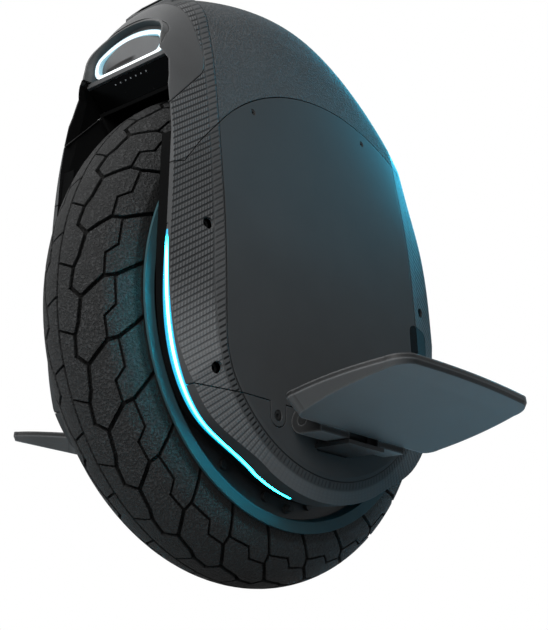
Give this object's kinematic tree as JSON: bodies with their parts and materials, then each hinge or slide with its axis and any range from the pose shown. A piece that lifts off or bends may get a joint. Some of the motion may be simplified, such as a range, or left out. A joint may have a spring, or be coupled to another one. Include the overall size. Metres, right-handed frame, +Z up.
{
  "type": "electric unicycle",
  "caption": "Self-balancing electric unicycle: one wide road tyre on a hub motor inside a tall moulded body, with fold-up pedals, front light, edge light strips and a carry handle.",
  "frame": {"origin": "where the tyre touches the floor, straight below the axle, on the middle plane", "axes": "+X forward, the way the headlight points; +Y to the rider's left; +Z up"},
  "size_m": [0.457, 0.4824, 0.5385],
  "materials": {
    "tyre": "matt tread rubber",
    "rim": "satin black",
    "motor_metal": "cast, dark anodised",
    "steel": "machined",
    "magnet": "nickel plated",
    "stator": "laminated",
    "copper": "varnished copper",
    "frame": "cast magnesium, dark coat",
    "guard": "black",
    "gloss_black": "gloss black",
    "shell_grain": "fine leather grain",
    "shell_smooth": "satin",
    "ring_light": "lit white light guide",
    "lens": "clear",
    "dot_light": "small white lights",
    "strip_light": "lit cyan light guide",
    "tail_lens": "red lens",
    "soft_rubber": "matt black",
    "pedal": "fine matt coat",
    "grip_tape": "abrasive sheet",
    "screw": "black oxide",
    "battery": "shrink film",
    "board": "green solder mask",
    "capacitor": "black sleeve",
    "heat_sink": "bare",
    "socket": "black"
  },
  "bodies": {
    "chassis": {"axle": "steel", "axle_nuts": "steel", "band_screws": "screw", "battery_left": "battery", "battery_right": "battery", "bearing_balls": "steel", "bearing_inner_races": "steel", "board_capacitors": "capacitor", "charge_socket": "socket", "control_board": "board", "display_lights": "dot_light", "display_panel": "gloss_black", "frame_left": "frame", "frame_right": "frame", "handle_core": "motor_metal", "handle_grip": "soft_rubber", "head_cover": "shell_smooth", "headlight_housing": "gloss_black", "headlight_lens": "lens", "headlight_ring": "ring_light", "heat_sink": "heat_sink", "hinge_pin_left": "steel", "hinge_pin_right": "steel", "light_strip_left": "strip_light", "light_strip_right": "strip_light", "lower_cover_left": "shell_smooth", "lower_cover_right": "shell_smooth", "panel_screws": "screw", "pedal_hanger_left": "frame", "pedal_hanger_right": "frame", "side_panel_left": "shell_smooth", "side_panel_right": "shell_smooth", "stator_coils": "copper", "stator_core": "stator", "tail_cover": "shell_smooth", "tail_light_lens": "tail_lens", "top_cover": "shell_grain", "upper_shell_left": "shell_grain", "upper_shell_right": "shell_grain", "wheel_guard": "guard"},
    "wheel": {"tyre": "tyre", "rim": "rim", "motor_cover_left": "motor_metal", "motor_cover_right": "motor_metal", "motor_cover_bolts": "steel", "rotor_ring": "steel", "rotor_magnets": "magnet", "bearing_outer_races": "steel", "valve_stem": "soft_rubber"},
    "left_pedal": {"pedal_left": "pedal", "pedal_pad_left": "grip_tape"},
    "right_pedal": {"pedal_right": "pedal", "pedal_pad_right": "grip_tape"},
    "power_key": {"power_button": "gloss_black"},
    "port_flap": {"charge_flap": "soft_rubber"}
  },
  "joints": [
    {"name": "wheel_spin", "type": "hinge", "parent": "chassis", "child": "wheel", "pos_m": [0, 0, 0.2285], "axis": [0, 1, 0], "continuous": true},
    {"name": "left_pedal_fold", "type": "hinge", "parent": "chassis", "child": "left_pedal", "pos_m": [0, 0.11, 0.1235], "axis": [1, 0, 0], "range_deg": [0, 80]},
    {"name": "right_pedal_fold", "type": "hinge", "parent": "chassis", "child": "right_pedal", "pos_m": [0, -0.11, 0.1235], "axis": [-1, 0, 0], "range_deg": [0, 80]},
    {"name": "power_press", "type": "slide", "parent": "chassis", "child": "power_key", "axis": [0, 0, -1], "range_m": [0, 0.0015], "stiffness_N_per_m": 400},
    {"name": "flap_hinge", "type": "hinge", "parent": "chassis", "child": "port_flap", "pos_m": [-0.14, 0.0929, 0.2193], "axis": [-1, 0, 0], "range_deg": [0, 110], "stiffness_Nm_per_rad": 0.004}
  ]
}
